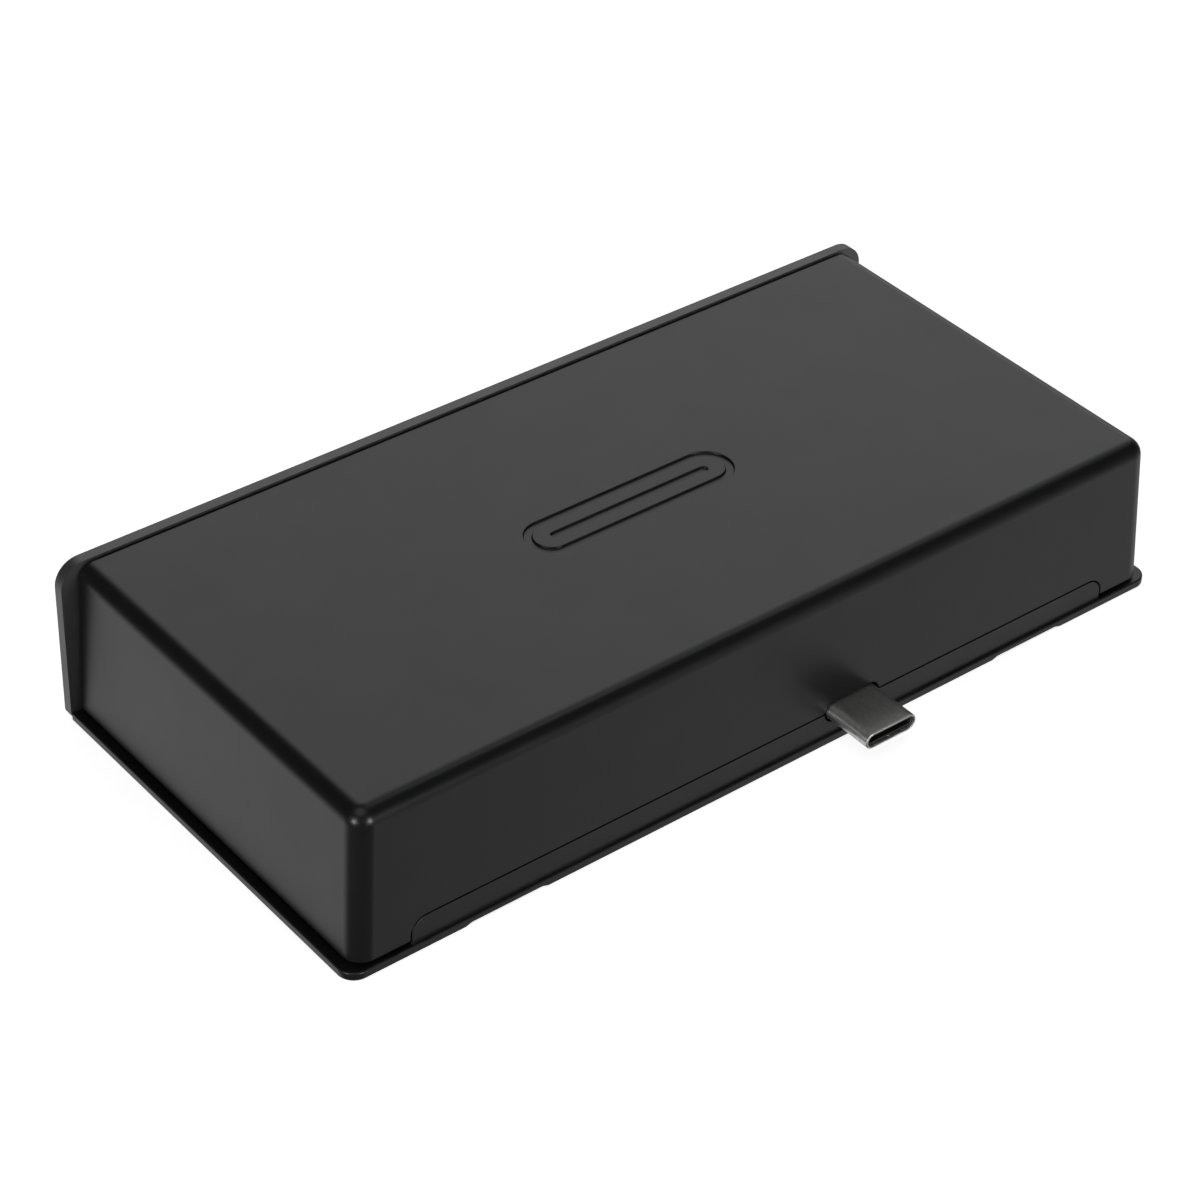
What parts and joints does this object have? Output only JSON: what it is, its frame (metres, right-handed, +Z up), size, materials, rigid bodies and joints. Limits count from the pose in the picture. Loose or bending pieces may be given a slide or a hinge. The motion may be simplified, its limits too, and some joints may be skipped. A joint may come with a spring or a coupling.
{
  "type": "usb-c docking module",
  "caption": "Flat black slide-in docking box with a fixed reversible plug at the rear, a screwed base tray and an oversize front fascia that carries the sockets.",
  "frame": {"origin": "centre of the base's underside, midway between the base's rear edge and the fascia's outer face", "axes": "+X along the long side, towards the side where the plug is; +Y from the plug side to the fascia; +Z up, from the base to the cover"},
  "size_m": [0.13, 0.0683, 0.0231],
  "materials": {
    "cover_black": "satin black paint over a fine moulded grain",
    "base_black": "satin black moulding",
    "fascia_black": "satin black with a fine spark-eroded grain",
    "zinc_steel": "zinc-plated screw",
    "turned_brass": "knurled turned brass",
    "board_green": "green solder mask over copper tracks",
    "plug_steel": "satin stainless shell",
    "socket_steel": "nickel-plated stamped shell",
    "connector_black": "black glass-filled nylon",
    "contact_gold": "gold-plated contact",
    "pusher_nylon": "natural acetal slider",
    "spring_steel": "spring wire",
    "chip_epoxy": "moulded chip package",
    "thermal_pad": "soft silicone pad",
    "spreader_aluminium": "extruded aluminium",
    "can_aluminium": "drawn aluminium can",
    "tan_ceramic": "multilayer capacitor body",
    "ferrite_grey": "pressed ferrite body",
    "lamp_resin": "lamp resin",
    "clear_pipe": "clear moulded acrylic"
  },
  "bodies": {
    "case": {"cover": "cover_black", "base_tray": "base_black", "fascia": "fascia_black", "case_screws": "zinc_steel", "case_inserts": "turned_brass", "main_board": "board_green", "board_screws": "zinc_steel", "plug_shell": "plug_steel", "plug_insulator": "connector_black", "plug_contacts": "contact_gold", "plug_carrier": "connector_black", "type_c_shell": "socket_steel", "type_c_tongue": "connector_black", "type_c_contacts": "contact_gold", "type_a_shell": "socket_steel", "type_a_tongues": "connector_black", "type_a_contacts": "contact_gold", "video_shell": "socket_steel", "video_tongue": "connector_black", "video_contacts": "contact_gold", "network_shield": "socket_steel", "network_housing": "connector_black", "network_contacts": "contact_gold", "network_light_pipes": "clear_pipe", "audio_body": "connector_black", "audio_contacts": "contact_gold", "card_board": "board_green", "card_pillars": "zinc_steel", "card_screws": "zinc_steel", "card_header": "connector_black", "full_card_frame": "connector_black", "full_card_lid": "socket_steel", "full_card_contacts": "contact_gold", "full_card_spring": "spring_steel", "micro_card_frame": "connector_black", "micro_card_lid": "socket_steel", "micro_card_contacts": "contact_gold", "micro_card_spring": "spring_steel", "hub_chip": "chip_epoxy", "video_chip": "chip_epoxy", "network_chip": "chip_epoxy", "power_chip": "chip_epoxy", "thermal_pads": "thermal_pad", "heat_spreader": "spreader_aluminium", "spreader_screws": "zinc_steel", "network_transformer": "chip_epoxy", "power_inductors": "ferrite_grey", "bulk_capacitors": "can_aluminium", "chip_capacitors": "tan_ceramic", "crystals": "can_aluminium", "status_lamp": "lamp_resin", "light_pipe": "clear_pipe"},
    "full_card_pusher": {"full_card_slider": "pusher_nylon"},
    "micro_card_pusher": {"micro_card_slider": "pusher_nylon"}
  },
  "joints": [
    {"name": "full_card_push", "type": "slide", "parent": "case", "child": "full_card_pusher", "axis": [0, -1, 0], "range_m": [0, 0.0045], "stiffness_N_per_m": 200, "springref_m": -0.003, "deforming": ["full_card_spring"]},
    {"name": "micro_card_push", "type": "slide", "parent": "case", "child": "micro_card_pusher", "axis": [0, -1, 0], "range_m": [0, 0.003], "stiffness_N_per_m": 150, "springref_m": -0.002, "deforming": ["micro_card_spring"]}
  ]
}
